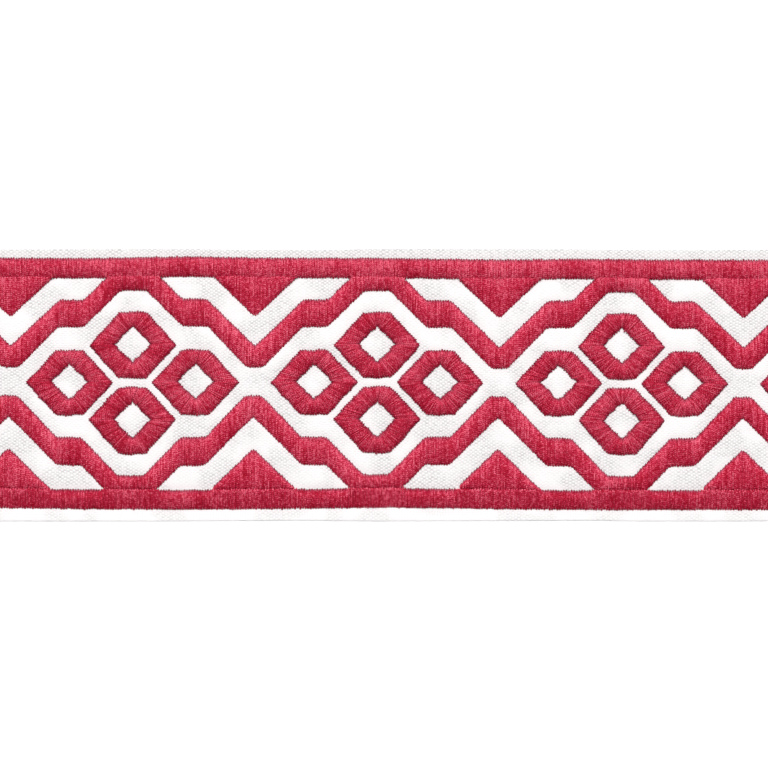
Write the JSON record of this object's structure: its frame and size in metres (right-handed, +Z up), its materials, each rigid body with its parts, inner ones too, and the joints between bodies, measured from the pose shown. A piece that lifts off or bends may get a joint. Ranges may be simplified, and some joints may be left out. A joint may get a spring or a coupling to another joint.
{
  "type": "embroidered tape trim, a flat cut length",
  "caption": "Flat length of white woven tape trim with padded satin embroidery: plain borders, stepped zigzags, triangles and lozenge rings. Sewn or glued on by its underside.",
  "frame": {"origin": "middle of the underside, on the surface that the tape lies on", "axes": "+X along the tape, +Y across it, +Z up through the cloth to its embroidered face"},
  "size_m": [0.34, 0.076, 0.0023],
  "materials": {
    "tape_cloth": "matt white plain weave",
    "embroidery_thread": "soft raspberry red thread in padded satin stitch"
  },
  "bodies": {
    "root": {"woven_tape": "tape_cloth", "border_upper": "embroidery_thread", "border_lower": "embroidery_thread", "zigzag_upper": "embroidery_thread", "zigzag_lower": "embroidery_thread", "triangle_upper_1": "embroidery_thread", "triangle_upper_2": "embroidery_thread", "triangle_upper_3": "embroidery_thread", "triangle_upper_4": "embroidery_thread", "triangle_upper_5": "embroidery_thread", "triangle_upper_6": "embroidery_thread", "triangle_lower_1": "embroidery_thread", "triangle_lower_2": "embroidery_thread", "triangle_lower_3": "embroidery_thread", "triangle_lower_4": "embroidery_thread", "triangle_lower_5": "embroidery_thread", "triangle_lower_6": "embroidery_thread", "lozenge_1_left": "embroidery_thread", "lozenge_1_right": "embroidery_thread", "lozenge_1_top": "embroidery_thread", "lozenge_1_bottom": "embroidery_thread", "lozenge_2_left": "embroidery_thread", "lozenge_2_right": "embroidery_thread", "lozenge_2_top": "embroidery_thread", "lozenge_2_bottom": "embroidery_thread", "lozenge_3_left": "embroidery_thread", "lozenge_3_right": "embroidery_thread", "lozenge_3_top": "embroidery_thread", "lozenge_3_bottom": "embroidery_thread", "lozenge_4_left": "embroidery_thread", "lozenge_4_right": "embroidery_thread", "lozenge_4_top": "embroidery_thread", "lozenge_4_bottom": "embroidery_thread", "lozenge_5_left": "embroidery_thread", "lozenge_5_right": "embroidery_thread", "lozenge_5_top": "embroidery_thread", "lozenge_5_bottom": "embroidery_thread"}
  },
  "joints": []
}
